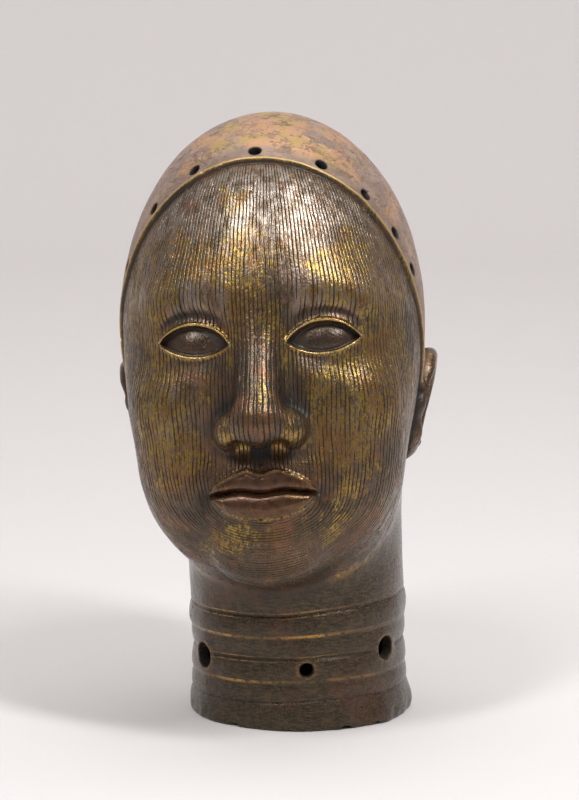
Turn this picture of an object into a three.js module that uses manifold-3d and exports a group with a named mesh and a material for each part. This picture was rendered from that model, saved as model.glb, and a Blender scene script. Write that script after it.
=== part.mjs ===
// A life-size bronze head in the Ife manner, cast hollow in one piece and open under the neck.
// A plain cap of hair stands proud of the face along a hairline that has a row of holes above it.
// Three more holes pierce the neck, whose flesh lies in shallow folds over a turned-out foot.
// The head faces -Y, its left side is +X, and Z is up. The origin is under the middle of its box.

import * as THREE from "three";
import { mergeVertices } from "three/addons/utils/BufferGeometryUtils.js";
import Module from "manifold-3d";

// Driving dimensions, in millimetres and degrees
const HEIGHT = 300; // foot to crown; the face, ears and skull keep their shares of it
const WALL = 5; // thickness of the casting
const NECK_WIDTH = 108; // outside, side to side, between the folds
const NECK_DEPTH = 108; // outside, front to back, between the folds
const FOOT_FLARE = 2; // how far the foot turns out
const FOLD_DEPTH = 1.5; // how far a fold of the neck swells between its creases
const FOLD_HEIGHTS = [57.5, 46.5, 35.5, 24, 14]; // the creases between the folds
const TILT = 12; // the face leans back
const LEAN = 3; // the head leans to its own right
const CAP_RAISE = 1.5; // the hair stands this far over the face
const HAIR_HOLE_DIAMETER = 6.5;
const HAIR_HOLE_INSET = 6; // from the hairline to the middle of its holes
const HAIR_HOLE_ANGLES = [-88, -59, -31.5, -1, 31, 56, 78, 95]; // along the hairline, from the middle of the forehead
const NECK_HOLES = [
  { azimuth: -53.5, height: 32.5, diameter: 12.4 },
  { azimuth: 12, height: 31, diameter: 7 },
  { azimuth: 59.5, height: 37.5, diameter: 11.4 },
];
const BRONZE = 0x5a4632;

// The free form is drawn for a head 300 mm high and scaled to HEIGHT
const DRAWN_HEIGHT = 300;
const SCALE = HEIGHT / DRAWN_HEIGHT;
const SPINE_Y = 4 * SCALE; // the upright line inside the neck that every ray leaves from
const NECK_TOP = 120 * SCALE; // where the neck ends, inside the skull
const FOOT_SHIFT = 4 * SCALE; // the neck slants, its foot this far towards the head's left

const EAR_SPOKES = 20;
const HOLE_SIDES = 10;

const wasm = await Module();
wasm.setup();

const radians = THREE.MathUtils.degToRad;
const clamp = (x) => Math.min(1, Math.max(0, x));
const bump = (distance, width) => Math.exp(-((distance / width) ** 2));
const range = (n) => [...Array(n).keys()];

// Smooth step from 0 at low to 1 at high
function step(x, low, high) {
  const t = clamp((x - low) / (high - low));
  return t * t * (3 - 2 * t);
}

// Smooth union and smooth intersection of two signed distances, rounded over k with no jump in curvature
function join(a, b, k) {
  const h = Math.max(0, 1 - Math.abs(a - b) / (1.5 * k));
  return Math.min(a, b) - (k / 4) * h ** 3;
}

const cut = (a, b, k) => -join(-a, -b, k);

// Signed distance to an ellipsoid, near enough for blending
function ellipsoid(x, y, z, [cx, cy, cz], [rx, ry, rz]) {
  const [u, v, w] = [(x - cx) / rx, (y - cy) / ry, (z - cz) / rz];
  const near = Math.hypot(u, v, w);
  return (near * (near - 1)) / (Math.hypot(u / rx, v / ry, w / rz) + 1e-9);
}

// Signed distance to a rounded cone from a to b
function cone(x, y, z, a, b, ra, rb) {
  const p = [x - a[0], y - a[1], z - a[2]];
  const q = [b[0] - a[0], b[1] - a[1], b[2] - a[2]];
  const along = (p[0] * q[0] + p[1] * q[1] + p[2] * q[2]) / (q[0] ** 2 + q[1] ** 2 + q[2] ** 2);
  const t = clamp(along);
  return Math.hypot(p[0] - t * q[0], p[1] - t * q[1], p[2] - t * q[2]) - (ra + (rb - ra) * t);
}

// The skull's own frame stands level: x to the head's left, y back and z up from the middle of the eye line
const PIVOT = new THREE.Vector3(0, 10, 110);
const EYE_LINE = new THREE.Vector3(0, -6, 178.82);
const headToPart = new THREE.Matrix4()
  .makeScale(SCALE, SCALE, SCALE)
  .multiply(new THREE.Matrix4().makeRotationY(-radians(LEAN)))
  .multiply(new THREE.Matrix4().makeTranslation(PIVOT))
  .multiply(new THREE.Matrix4().makeRotationX(-radians(TILT)))
  .multiply(new THREE.Matrix4().makeTranslation(EYE_LINE.clone().sub(PIVOT)));
const partToHead = headToPart.clone().invert();
const local = new THREE.Vector3();

// Cranium, forehead, face and jaw
function skull(x, y, z) {
  let d = ellipsoid(x, y, z, [0, 10, 26], [72.5, 87, 95]);
  d = join(d, ellipsoid(x, y, z, [0, -24, 26], [57, 56, 70]), 26);
  d = join(d, ellipsoid(x, y, z, [0, -20, -16], [69, 61, 86]), 24);
  return join(d, ellipsoid(x, y, z, [0, -25, -70], [58, 53, 47]), 22);
}

// Chin, cheeks, muzzle and brow over the skull
function flesh(x, y, z, bone) {
  const side = Math.abs(x);
  let d = join(bone, ellipsoid(x, y, z, [0, -64, -102], [23, 18, 16]), 18);
  d = join(d, ellipsoid(side, y, z, [41, -52, -28], [22, 22, 19]), 20);
  d = join(d, ellipsoid(side, y, z, [33, -49, -58], [26, 24, 29]), 20);
  d = join(d, ellipsoid(x, y, z, [0, -66, -72], [32, 20, 25]), 15);
  return join(d, ellipsoid(side, y, z, [21, -64, 21], [29, 13, 12]), 20);
}

const EYE = { x: 31.5, halfWidth: 17.5, rise: 8.8, fall: 6.4, slant: radians(4) };

// Eye sockets with their globes, and the nose
function features(x, y, z, d) {
  const side = Math.abs(x);
  d = cut(d, -ellipsoid(side, y, z, [33, -97, 2], [21, 20, 14.5]), 13);
  d = join(d, ellipsoid(side, y, z, [EYE.x, -59.5, 0], [19.5, 18, 15]), 6);
  d = join(d, cone(x, y, z, [0, -76, 16], [0, -95, -37], 8, 11.5), 10);
  d = join(d, ellipsoid(x, y, z, [0, -95, -40], [13, 11.5, 10.5]), 8);
  return join(d, ellipsoid(side, y, z, [13, -84, -43], [9, 13, 9]), 11);
}

// Height of the lids and the eyeball over the socket's globe
function eyeRelief(x, z) {
  const [c, s] = [Math.cos(EYE.slant), Math.sin(EYE.slant)];
  const across = (Math.abs(x) - EYE.x) * c + z * s;
  const up = z * c - (Math.abs(x) - EYE.x) * s;
  const share = clamp(Math.abs(across) / EYE.halfWidth);
  const upper = EYE.rise * (1 - share ** 2.2);
  const lower = -EYE.fall * (1 - share ** 2);
  const open = step(Math.min(upper - up, up - lower), -0.8, 2);
  const rims = 1.7 * bump(up - upper - 1.4, 2.4) + 1.2 * bump(up - lower + 1.4, 2.2);
  const crease = bump(up - upper * 0.75 - 8.4, 2.4);
  return (rims - crease) * (1 - step(share, 0.8, 1.15)) + open * (2.2 * (1 - share ** 2) - 1.8);
}

const MOUTH = { z: -73, halfWidth: 27, rise: 10.6, fall: 12.6 };

// Height of the lips over the muzzle, with their parting and the groove over them
function mouthRelief(x, z) {
  const up = z - MOUTH.z;
  const share = clamp(Math.abs(x) / MOUTH.halfWidth);
  const taper = Math.sqrt(1 - share ** 2);
  const upperLip = 2.8 * bump(up - 0.52 * MOUTH.rise * taper, 0.5 + 0.44 * MOUTH.rise * taper);
  const lowerLip = 3.8 * bump(up + 0.52 * MOUTH.fall * taper, 0.5 + 0.42 * MOUTH.fall * taper);
  const lips = (upperLip + lowerLip - 2 * bump(up, 1.8)) * (1 - step(share, 0.7, 1.05));
  return lips - 0.8 * bump(x, 3.2) * bump(up - 14, 4);
}

// The neck: an upright oval tube whose folds swell between their creases, over the turned-out foot
function neckSwell(x, z) {
  const level = z - 0.035 * x; // the creases run lower on the head's right
  let swell = FOOT_FLARE * bump(z - 5, 8.5) - 0.8 * bump(z - 30, 24);
  for (let i = 1; i < FOLD_HEIGHTS.length; i++) {
    const u = (level - FOLD_HEIGHTS[i]) / (FOLD_HEIGHTS[i - 1] - FOLD_HEIGHTS[i]);
    if (u > 0 && u < 1) swell += FOLD_DEPTH * (4 * u * (1 - u)) ** 0.6;
  }
  return swell;
}

function neck(x, y, z, swell) {
  const [rx, ry] = [NECK_WIDTH / 2 + swell, NECK_DEPTH / 2 + swell];
  const aside = x - FOOT_SHIFT * (1 - z / NECK_TOP);
  const d = (Math.hypot(aside / rx, (y - SPINE_Y) / ry) - 1) * ((rx + ry) / 2);
  return cut(d, z - NECK_TOP, 8 * SCALE);
}

const toHead = (x, y, z) => local.set(x, y, z).applyMatrix4(partToHead);

// The outside without its hair, and the outside of the hair alone
function outside(x, y, z) {
  const p = toHead(x, y, z);
  const front = 1 - step(p.y, -62, -40);
  const fleshed = flesh(p.x, p.y, p.z, skull(p.x, p.y, p.z));
  const head = features(p.x, p.y, p.z, fleshed) - front * (eyeRelief(p.x, p.z) + mouthRelief(p.x, p.z));
  return join(head * SCALE, neck(x, y, z, neckSwell(x, z)), 12 * SCALE);
}

function hair(x, y, z) {
  const p = toHead(x, y, z);
  const fleshed = flesh(p.x, p.y, p.z, skull(p.x, p.y, p.z));
  return join(fleshed * SCALE, neck(x, y, z, neckSwell(x, z)), 12 * SCALE) - CAP_RAISE;
}

// The inside follows the flesh, and also the eye sockets so that the wall behind them stays whole
function inside(x, y, z) {
  const p = toHead(x, y, z);
  const fleshed = flesh(p.x, p.y, p.z, skull(p.x, p.y, p.z));
  const socketed = Math.max(fleshed, features(p.x, p.y, p.z, fleshed));
  return join(socketed * SCALE, neck(x, y, z, 0), 12 * SCALE) + WALL;
}

const EAR = { y: 14, z: -27, halfWidth: 14.5, halfHeight: 24, slant: radians(10) };
const EAR_RINGS = [0.28, 0.5, 0.66, 0.78, 0.9, 1]; // as shares of the way from the bowl to the outline

// How far an ear stands out of the skull, a towards its back and b up from its middle
function earHeight(a, b) {
  const share = Math.hypot(a / earHalfWidth(b), b / EAR.halfHeight);
  const plate = 0.16 * (a + EAR.halfWidth); // it stands further out towards the back
  const open = step(-a, 8, 13) * step(-b, -16, -4); // no rim low down at the front
  const fold = Math.hypot((a + 1) / 8.5, (b - 1) / 15.5);
  return (
    plate +
    6.4 * bump(share - 0.9, 0.13) * (1 - open) +
    3.4 * bump(fold - 1, 0.17) * step(a, -5, 0) -
    5 * Math.max(0, 1 - ((a + 4.5) / 7) ** 2 - ((b + 3) / 10) ** 2) +
    6 * bump(Math.hypot((a + 12.5) / 3.6, (b + 4) / 5.5), 1) +
    4.5 * bump(Math.hypot((a + 5) / 7, (b + 22) / 6.5), 1)
  );
}

const earHalfWidth = (b) => EAR.halfWidth * (1 - 0.25 * step(-b, 2, 26));

// Distance along a ray to the outermost point where the field turns positive
function outermost(field, from, way, near, far) {
  const at = (r) => field(from.x + way.x * r, from.y + way.y * r, from.z + way.z * r);
  const pace = (far - near) / 70;
  let r = far;
  while (r > near && at(r) > 0) r -= pace;
  let [inner, outer] = [r, r + pace];
  for (let i = 0; i < 14; i++) {
    const middle = (inner + outer) / 2;
    if (at(middle) > 0) outer = middle;
    else inner = middle;
  }
  return from.clone().addScaledVector(way, inner);
}

// Triangles between two rings of points, given by their numbers; a ring may be a single point
function band(points, lower, upper) {
  const faces = [];
  const ends = [lower, upper].map((ring) => (ring.length > 1 ? ring.length : 0));
  let [i, k] = [0, 0];
  while (i < ends[0] || k < ends[1]) {
    const [a, b] = [lower[i % lower.length], upper[k % upper.length]];
    const [nextLower, nextUpper] = [lower[(i + 1) % lower.length], upper[(k + 1) % upper.length]];
    const shorter = points[a].distanceTo(points[nextUpper]) < points[b].distanceTo(points[nextLower]);
    const upperFirst = lower.length === upper.length ? k < i : shorter;
    if (i === ends[0] || (k < ends[1] && upperFirst)) {
      faces.push(a, nextUpper, b);
      k += 1;
    } else {
      faces.push(a, nextLower, b);
      i += 1;
    }
  }
  return faces;
}

// A closed mesh from rings of points with a single point at each end
function closedMesh(rings) {
  const points = rings.flat();
  const numbers = [];
  let start = 0;
  for (const ring of rings) {
    numbers.push(ring.map((point, i) => start + i));
    start += ring.length;
  }
  const faces = numbers.slice(1).flatMap((upper, k) => band(points, numbers[k], upper));
  const geometry = new THREE.BufferGeometry().setFromPoints(points);
  geometry.setIndex(faces);
  return geometry;
}

function solid(geometry) {
  const bare = geometry.clone();
  bare.deleteAttribute("normal");
  bare.deleteAttribute("uv");
  const merged = mergeVertices(bare, 1e-4);
  const vertProperties = merged.attributes.position.array;
  const made = new wasm.Mesh({ numProp: 3, vertProperties, triVerts: new Uint32Array(merged.index.array) });
  return new wasm.Manifold(made);
}

// The skins are met by rays from the spine, in a fan that dips under the jaw and then rises to the crown.
// Each entry says how many rows follow it, the columns in a row and how far apart those at the front stand.
const EVEN = Math.PI;
const FOOT_LEVELS = [0, 6];
const folded = FOLD_HEIGHTS.toReversed();
const crests = folded.slice(1).map((height, k) => (height + folded[k]) / 2);
const neckLevels = [...FOOT_LEVELS, ...folded, ...crests].sort((a, b) => a - b);
const OUTSIDE_FAN = [
  ...neckLevels.map((level) => ({ height: level / SCALE, elevation: 0, rows: 1, columns: 36, spread: EVEN })),
  { height: 65, elevation: -6, rows: 3, columns: 44, spread: 2.2 },
  { height: 108, elevation: -33, rows: 5, columns: 60, spread: 1.2 },
  { height: 140, elevation: -22, rows: 4, columns: 70, spread: 0.8 },
  { height: 147, elevation: -16, rows: 8, columns: 70, spread: 0.8 },
  { height: 155, elevation: -9, rows: 9, columns: 70, spread: 0.8 },
  { height: 166, elevation: 8, rows: 10, columns: 70, spread: 0.8 },
  { height: 169, elevation: 26, rows: 3, columns: 70, spread: 0.8 },
  { height: 170, elevation: 40, rows: 5, columns: 34, spread: EVEN },
  { height: 172, elevation: 90, rows: 1 },
];
const PLAIN_FAN = [
  { height: 0, elevation: 0 },
  { height: 60, elevation: -26 },
  { height: 108, elevation: -33 },
  { height: 140, elevation: -22 },
  { height: 165, elevation: 0 },
  { height: 170, elevation: 32 },
  { height: 172, elevation: 90 },
];
const plainFan = (columns, spread, rows) => PLAIN_FAN.map((ray, k) => ({ ...ray, rows: rows[k], columns, spread }));
const HAIR_FAN = plainFan(32, EVEN, [1, 1, 1, 2, 4, 7, 1]);
const CORE_FAN = plainFan(28, 1.6, [2, 4, 3, 2, 5, 4, 1]);

// A closed skin round the spine, where the field turns positive
function skin(field, fan, footHeight) {
  const reach = (height, azimuth, elevation) => {
    const flat = Math.cos(elevation);
    const way = new THREE.Vector3(Math.sin(azimuth) * flat, -Math.cos(azimuth) * flat, Math.sin(elevation));
    return outermost(field, new THREE.Vector3(0, SPINE_Y, height), way, 10 * SCALE, 180 * SCALE);
  };
  const rings = [[new THREE.Vector3(0, SPINE_Y, footHeight)]];
  fan.slice(1).forEach((above, k) => {
    const { height, elevation, rows, columns, spread } = fan[k];
    for (let i = 0; i < rows; i++) {
      const level = rings.length === 1 ? footHeight : THREE.MathUtils.lerp(height, above.height, i / rows) * SCALE;
      const rise = radians(THREE.MathUtils.lerp(elevation, above.elevation, i / rows));
      rings.push(range(columns).map((j) => {
        const share = (2 * j) / columns - 1;
        return reach(level, spread * share + (Math.PI - spread) * share * Math.abs(share) ** 3, rise);
      }));
    }
  });
  const crown = fan.at(-1);
  rings.push([reach(crown.height * SCALE, 0, radians(crown.elevation))]);
  return solid(closedMesh(rings));
}

// The hairline's plane, from over the forehead down past the ears, and the level that ends the hair at the nape
const HAIRLINE_TOP = new THREE.Vector3(0, -66, 98);
const HAIRLINE_EAR = new THREE.Vector3(0, -16, 8);
const NAPE = -54;
const alongHairline = HAIRLINE_TOP.clone().sub(HAIRLINE_EAR).normalize();
const intoHair = new THREE.Vector3(1, 0, 0).cross(alongHairline).negate();

// A block that fills the space on the far side of a plane
function halfSpace(point, normal) {
  const size = 400;
  const block = new THREE.BoxGeometry(size, size, size).translate(0, 0, size / 2);
  const turn = new THREE.Quaternion().setFromUnitVectors(new THREE.Vector3(0, 0, 1), normal);
  block.applyQuaternion(turn).translate(point.x, point.y, point.z).applyMatrix4(headToPart);
  return solid(block);
}

function hairCap() {
  const whole = skin(hair, HAIR_FAN, 30 * SCALE);
  const behind = halfSpace(HAIRLINE_TOP, intoHair);
  const above = halfSpace(new THREE.Vector3(0, 0, NAPE), new THREE.Vector3(0, 0.12, 1).normalize());
  return whole.intersect(behind).intersect(above);
}

// An ear on the skull's side: rings from its bowl out to its rim, then down its outer wall to under the skin
function earSolid(hand) {
  const [c, s] = [Math.cos(EAR.slant), Math.sin(EAR.slant)];
  const out = new THREE.Vector3(hand, 0, 0).transformDirection(headToPart);
  const bone = (x, y, z) => {
    const p = toHead(x, y, z);
    return skull(p.x, p.y, p.z) * SCALE;
  };
  const onEar = (a, b, height) => {
    const from = new THREE.Vector3(hand * 50, EAR.y + a * c + b * s, EAR.z - a * s + b * c).applyMatrix4(headToPart);
    return outermost(bone, from, out, 0, 40 * SCALE).addScaledVector(out, height * SCALE);
  };
  const ring = (share, heightOf) => range(EAR_SPOKES).map((i) => {
    const turn = (-hand * 2 * Math.PI * i) / EAR_SPOKES;
    const b = share * EAR.halfHeight * Math.sin(turn);
    const a = share * earHalfWidth(b) * Math.cos(turn);
    return onEar(a, b, heightOf(a, b));
  });
  const face = EAR_RINGS.map((share) => ring(share, earHeight));
  const side = ring(1, (a, b) => 0.4 * earHeight(a, b));
  const foot = ring(0.95, () => -WALL / 2);
  return solid(closedMesh([[onEar(0, 0, earHeight(0, 0))], ...face, side, foot, [onEar(0, 0, -WALL / 2)]]));
}

// A bore along a ray, long enough to pass through the wall on its own side only
function bore(from, way, diameter) {
  const skinPoint = outermost(outside, from, way, 10 * SCALE, 180 * SCALE);
  const length = 3 * WALL + 12;
  const pin = new THREE.CylinderGeometry(diameter / 2, diameter / 2, length, HOLE_SIDES);
  pin.applyQuaternion(new THREE.Quaternion().setFromUnitVectors(new THREE.Vector3(0, 1, 0), way));
  return solid(pin.translate(skinPoint.x, skinPoint.y, skinPoint.z));
}

function hairHoles() {
  const centre = HAIRLINE_EAR.clone().lerp(HAIRLINE_TOP, 0.35);
  centre.addScaledVector(intoHair, HAIR_HOLE_INSET / SCALE);
  const from = centre.clone().applyMatrix4(headToPart);
  return HAIR_HOLE_ANGLES.map(radians).map((angle) => {
    const way = alongHairline.clone().multiplyScalar(Math.cos(angle));
    way.x += Math.sin(angle);
    return bore(from, way.transformDirection(headToPart), HAIR_HOLE_DIAMETER);
  });
}

function neckHoles() {
  return NECK_HOLES.map(({ azimuth, height, diameter }) => {
    const way = new THREE.Vector3(Math.sin(radians(azimuth)), -Math.cos(radians(azimuth)), 0);
    return bore(new THREE.Vector3(0, SPINE_Y, height), way, diameter);
  });
}

function castHead() {
  let casting = skin(outside, OUTSIDE_FAN, 0);
  casting = casting.add(hairCap()).add(earSolid(1)).add(earSolid(-1));
  casting = casting.subtract(skin(inside, CORE_FAN, -2 * WALL));
  for (const hole of [...hairHoles(), ...neckHoles()]) casting = casting.subtract(hole);
  const made = casting.getMesh();
  const geometry = new THREE.BufferGeometry();
  geometry.setAttribute("position", new THREE.BufferAttribute(made.vertProperties, made.numProp));
  geometry.setIndex(new THREE.BufferAttribute(made.triVerts, 1));
  return geometry;
}

const head = new THREE.Group();
const bronze = new THREE.MeshStandardMaterial({ color: BRONZE, metalness: 0.9, roughness: 0.42 });
const casting = new THREE.Mesh(castHead(), bronze);
casting.name = "cast_head";
casting.geometry.computeVertexNormals();
casting.geometry.computeBoundingBox();
const middle = casting.geometry.boundingBox.getCenter(new THREE.Vector3());
casting.position.set(-middle.x, -middle.y, 0);
head.add(casting);

export default head;
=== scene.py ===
"""A life-size bronze head in the Ife manner: its carved relief, its patina and soft studio light."""
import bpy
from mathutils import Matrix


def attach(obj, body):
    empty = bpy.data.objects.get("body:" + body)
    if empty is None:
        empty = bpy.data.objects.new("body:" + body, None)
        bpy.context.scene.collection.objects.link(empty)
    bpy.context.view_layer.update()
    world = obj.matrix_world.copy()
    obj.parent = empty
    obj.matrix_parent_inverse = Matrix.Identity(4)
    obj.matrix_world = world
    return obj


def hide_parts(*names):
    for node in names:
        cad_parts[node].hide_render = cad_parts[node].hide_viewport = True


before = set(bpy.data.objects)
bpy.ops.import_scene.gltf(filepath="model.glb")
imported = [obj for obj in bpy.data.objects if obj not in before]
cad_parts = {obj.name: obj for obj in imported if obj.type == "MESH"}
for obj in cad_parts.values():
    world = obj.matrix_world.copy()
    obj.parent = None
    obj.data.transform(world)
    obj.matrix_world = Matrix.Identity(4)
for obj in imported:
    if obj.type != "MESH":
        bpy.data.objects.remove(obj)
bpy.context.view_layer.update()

from concurrent.futures import ThreadPoolExecutor
from math import cos, pi, radians, sin

import bpy
import numpy as np
from mathutils import Vector

MILLIMETRE = 0.001
CELL = 0.55  # millimetres between the points of the first, dense surface
OUTSIDE_TRIANGLES = 165000
CORE_TRIANGLES = 14000
CORE_CELL = 3.0


# Camera: the photograph's view, from 1.8 m away

AZIMUTH, ELEVATION = radians(5), radians(9)
DISTANCE = 1.8
LENS, SENSOR_HEIGHT = 107.4, 24  # millimetres
AIM_HEIGHT, AIM_RIGHT, AIM_UP = 0.150, 0.0073, 0.0072
back = Vector((sin(AZIMUTH) * cos(ELEVATION), -cos(AZIMUTH) * cos(ELEVATION), sin(ELEVATION)))
right = Vector((cos(AZIMUTH), sin(AZIMUTH), 0))
up = back.cross(right)
target = Vector((0, 0, AIM_HEIGHT)) + right * AIM_RIGHT + up * AIM_UP
camera_data = bpy.data.cameras.new("camera")
camera_data.sensor_fit = "VERTICAL"
camera_data.sensor_height = SENSOR_HEIGHT
camera_data.lens = LENS
camera = bpy.data.objects.new("camera", camera_data)
camera.location = target + back * DISTANCE
camera.rotation_euler = back.to_track_quat("Z", "Y").to_euler()
bpy.context.scene.collection.objects.link(camera)
bpy.context.scene.camera = camera


# Fields: each gives a signed distance in millimetres, below zero inside. Arrays are float32.

def smooth(x, low, high):
    """Smooth step from 0 at low to 1 at high."""
    t = np.clip((x - low) / (high - low), 0, 1)
    return t * t * (3 - 2 * t)


def bump(distance, width):
    """1 at no distance, falling off like a bell."""
    return np.exp(-np.square(distance / width))


def join(a, b, k):
    """Smooth union, rounded over k."""
    h = np.maximum(0, 1 - np.abs(a - b) / (1.5 * k))
    return np.minimum(a, b) - (0.25 * k) * h * h * h


def cut(a, b, k):
    """Smooth intersection: a, kept where b is inside too."""
    return -join(-a, -b, k)


def ellipsoid(x, y, z, centre, radii):
    u, v, w = (x - centre[0]) / radii[0], (y - centre[1]) / radii[1], (z - centre[2]) / radii[2]
    near = np.sqrt(u * u + v * v + w * w)
    slope = np.sqrt(np.square(u / radii[0]) + np.square(v / radii[1]) + np.square(w / radii[2])) + 1e-9
    return near * (near - 1) / slope


def cone(x, y, z, a, b, ra, rb):
    """A rounded cone from a to b."""
    q = [b[i] - a[i] for i in range(3)]
    px, py, pz = x - a[0], y - a[1], z - a[2]
    t = np.clip((px * q[0] + py * q[1] + pz * q[2]) / (q[0] ** 2 + q[1] ** 2 + q[2] ** 2), 0, 1)
    away = np.sqrt((px - t * q[0]) ** 2 + (py - t * q[1]) ** 2 + (pz - t * q[2]) ** 2)
    return away - (ra + (rb - ra) * t)


TABLE_SIDE = 32
SEED = 11
NOISE_OFFSET = 57.3  # keeps the noise's own planes away from the middle
TABLE = (np.random.default_rng(SEED).random(TABLE_SIDE ** 3) * 2 - 1).astype(np.float32)


def noise(x, y, z, size):
    """Smooth noise from -1 to 1 whose lumps are of the given size."""
    sides = []
    for value in (x, y, z):
        scaled = value / size + NOISE_OFFSET
        whole = np.floor(scaled)
        part = scaled - whole
        sides.append((whole.astype(np.int32), part * part * (3 - 2 * part)))
    (i, u), (j, v), (k, w) = sides
    mask = TABLE_SIDE - 1
    total = 0
    for di in (0, 1):
        wi = u if di else 1 - u
        row = ((i + di) & mask) * TABLE_SIDE * TABLE_SIDE
        for dj in (0, 1):
            wj = wi * (v if dj else 1 - v)
            column = row + ((j + dj) & mask) * TABLE_SIDE
            low = TABLE[column + (k & mask)]
            high = TABLE[column + ((k + 1) & mask)]
            total = total + wj * (low + (high - low) * w)
    return total


# The head's own frame: x to its left, y back, z up from the middle of the eye line

TILT, LEAN = radians(12), radians(3)
PIVOT_Y, PIVOT_Z = 10, 110
EYE_LINE_Y, EYE_LINE_Z = -6, 178.82
SPINE_Y = 4
WALL = 5
FACE_FRONT_Y, FACE_SIDE_Y = -62, -42
EAR_BLEND, JAW_BLEND = 3, 12


def to_head(x, y, z):
    """A point of the drawn frame in the head's own frame."""
    x1 = x * cos(LEAN) + z * sin(LEAN)
    z1 = z * cos(LEAN) - x * sin(LEAN)
    dy, dz = y - PIVOT_Y, z1 - PIVOT_Z
    y2 = dy * cos(TILT) - dz * sin(TILT) + PIVOT_Y - EYE_LINE_Y
    return x1, y2, dy * sin(TILT) + dz * cos(TILT) + PIVOT_Z - EYE_LINE_Z


def from_head(x, y, z):
    """A point of the head's own frame in the drawn frame."""
    dy, dz = y + EYE_LINE_Y - PIVOT_Y, z + EYE_LINE_Z - PIVOT_Z
    y1 = dy * cos(TILT) + dz * sin(TILT) + PIVOT_Y
    z1 = dz * cos(TILT) - dy * sin(TILT) + PIVOT_Z
    return np.array([x * cos(LEAN) - z1 * sin(LEAN), y1, x * sin(LEAN) + z1 * cos(LEAN)])


def skull(x, y, z):
    """Braincase, brow and jaw, in the head's own frame."""
    d = ellipsoid(x, y, z, (0, 10, 26), (72.5, 87, 95))
    d = join(d, ellipsoid(x, y, z, (0, -24, 26), (57, 56, 70)), 26)
    d = join(d, ellipsoid(x, y, z, (0, -20, -16), (69, 61, 86)), 24)
    return join(d, ellipsoid(x, y, z, (0, -25, -70), (58, 53, 47)), 22)


def flesh(x, y, z, bone):
    """Chin, cheeks, muzzle and brow over the skull."""
    side = np.abs(x)
    d = join(bone, ellipsoid(x, y, z, (0, -64, -102), (23, 18, 16)), 18)
    d = join(d, ellipsoid(side, y, z, (41, -52, -28), (22, 22, 19)), 20)
    d = join(d, ellipsoid(side, y, z, (33, -49, -58), (26, 24, 29)), 20)
    d = join(d, ellipsoid(x, y, z, (0, -66, -72), (32, 20, 25)), 15)
    return join(d, ellipsoid(side, y, z, (21, -64, 21), (29, 13, 12)), 20)


EYE_X, EYE_HALF_WIDTH, EYE_RISE, EYE_FALL, EYE_SLANT = 31.5, 17.5, 8.8, 6.0, radians(4)


def features(x, y, z, d):
    """Eye sockets with their globes, and the nose."""
    side = np.abs(x)
    d = cut(d, -ellipsoid(side, y, z, (33, -97, 2), (21, 20, 14.5)), 13)
    d = join(d, ellipsoid(side, y, z, (EYE_X, -59.5, 0), (19.5, 18, 15)), 6)
    d = join(d, cone(x, y, z, (0, -76, 16), (0, -95, -37), 8, 11.5), 10)
    d = join(d, ellipsoid(x, y, z, (0, -95, -40), (13, 11.5, 10.5)), 7)
    d = join(d, ellipsoid(side, y, z, (13.5, -85, -43), (9.5, 13.5, 9)), 5)
    return cut(d, -ellipsoid(side, y, z, (9.2, -91, -53), (5.2, 7.5, 6.5)), 2.5)


def lids(x, z):
    """Across and up from the middle of the nearer eye, and the heights of its two lids there."""
    side = np.abs(x) - EYE_X
    across = side * cos(EYE_SLANT) + z * sin(EYE_SLANT)
    rise = z * cos(EYE_SLANT) - side * sin(EYE_SLANT)
    share = np.clip(np.abs(across) / EYE_HALF_WIDTH, 0, 1)
    upper = EYE_RISE * (1 - share ** 2.2) ** 0.9
    lower = -EYE_FALL * (1 - share * share) ** 0.95
    return across, rise, upper, lower


def eye_relief(x, z):
    """How far lids and eyeballs stand out from the face."""
    across, rise, upper, lower = lids(x, z)
    inward = np.minimum(upper - rise, rise - lower)
    reach = np.abs(across)
    out = -2.0 * smooth(inward, -0.2, 1.6) * (1 - smooth(reach, 16.5, 19))
    ball = np.clip(1 - np.square(across / 15) - np.square(rise / 9.5), 0, 1)
    out += 2.4 * ball * smooth(inward, 0, 2)
    out += 1.6 * bump(rise - upper - 0.9, 1.3) * (1 - smooth(reach, 15.5, 20))
    out += 1.0 * bump(rise - lower + 0.8, 1.1) * (1 - smooth(reach, 14, 18.5))
    out -= 1.2 * bump(rise - 0.75 * upper - 7.4, 1.8) * (1 - smooth(np.abs(across - 1), 10, 20))
    return out


MOUTH_Z, MOUTH_HALF_WIDTH = -73, 27


def lips(x):
    """Heights of the upper lip's top, the parting and the lower lip's foot over the mouth's level."""
    reach = np.abs(x)
    share = np.clip(reach / MOUTH_HALF_WIDTH, 0, 1)
    top = 10.6 * (1 - share ** 2.3) ** 0.85 - 2.0 * bump(x, 4.2) + 0.9 * bump(reach - 7.5, 4.5)
    parting = -0.6 * bump(x, 6) + 0.9 * bump(reach - 11, 6.5) - 0.6 * share * share
    foot = -12.6 * (1 - share ** 2.4) ** 0.8
    return reach, top, parting, foot


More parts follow.
